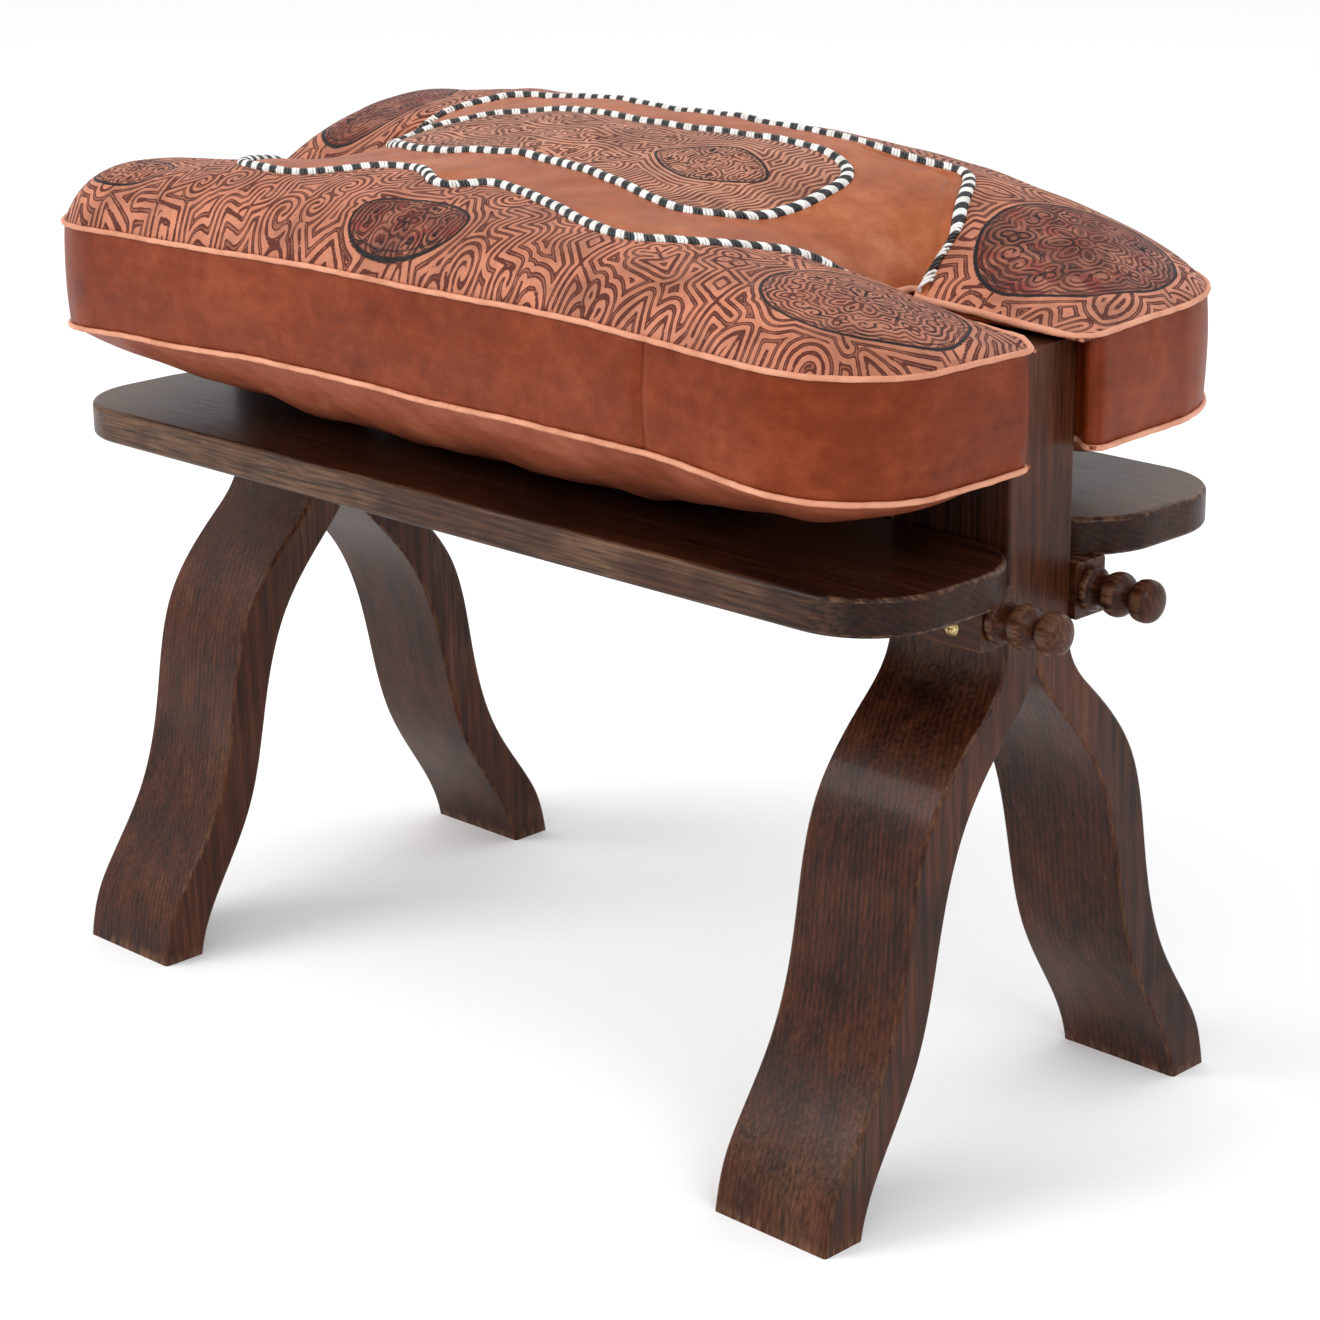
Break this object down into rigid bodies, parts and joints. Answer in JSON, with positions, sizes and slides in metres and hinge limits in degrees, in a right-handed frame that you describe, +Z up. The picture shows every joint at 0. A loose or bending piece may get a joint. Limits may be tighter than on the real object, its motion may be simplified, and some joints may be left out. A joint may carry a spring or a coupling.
{
  "type": "camel saddle stool",
  "caption": "Camel-saddle footstool: curved crossed legs and turned rails in dark wood, with a stuffed leather cushion slotted round the leg posts.",
  "frame": {"origin": "on the floor under the middle of the stool", "axes": "+X along the stool, +Y across it towards its right side, +Z up"},
  "size_m": [0.736, 0.3452, 0.545],
  "materials": {
    "stained_wood": "dark walnut stain, satin varnish",
    "turned_wood": "dark walnut stain, satin varnish, worn ridges",
    "board_wood": "dark walnut stain, satin varnish, worn edges",
    "brass_screw": "dull yellow-plated",
    "steel_screw": "zinc-plated",
    "dowel_wood": "bare beech",
    "filling": "cotton wadding",
    "underside_leather": "smooth saddle tan, semi-matte",
    "band_leather": "smooth saddle tan, mottled, semi-gloss",
    "plain_leather": "smooth light saddle tan, semi-matte",
    "tooled_leather": "tooled and antiqued tan, dark brown in the cuts",
    "piping_leather": "pale salmon rolled welt",
    "braid_lacing": "black and white lacing, whip-stitched"
  },
  "bodies": {
    "frame": {"leg_near_left": "stained_wood", "leg_near_right": "stained_wood", "leg_far_left": "stained_wood", "leg_far_right": "stained_wood", "rail_left": "turned_wood", "rail_right": "turned_wood", "seat_board_left": "board_wood", "seat_board_right": "board_wood", "rail_screws": "brass_screw", "board_screws": "steel_screw", "post_dowels": "dowel_wood"},
    "cushion": {"cushion_filling": "filling", "underside_panel": "underside_leather", "band_left_far": "band_leather", "band_left_near": "band_leather", "band_right": "band_leather", "slot_facing_far": "band_leather", "slot_facing_near": "band_leather", "tooled_panel_left": "tooled_leather", "tooled_panel_right": "tooled_leather", "saddle_panel": "plain_leather", "medallion_panel": "tooled_leather", "piping_top": "piping_leather", "piping_bottom": "piping_leather", "saddle_braid_left": "braid_lacing", "saddle_braid_right": "braid_lacing", "medallion_braid": "braid_lacing"}
  },
  "joints": [
    {"name": "cushion_lift", "type": "slide", "parent": "frame", "child": "cushion", "axis": [0, 0, 1], "range_m": [0, 0.18]}
  ]
}
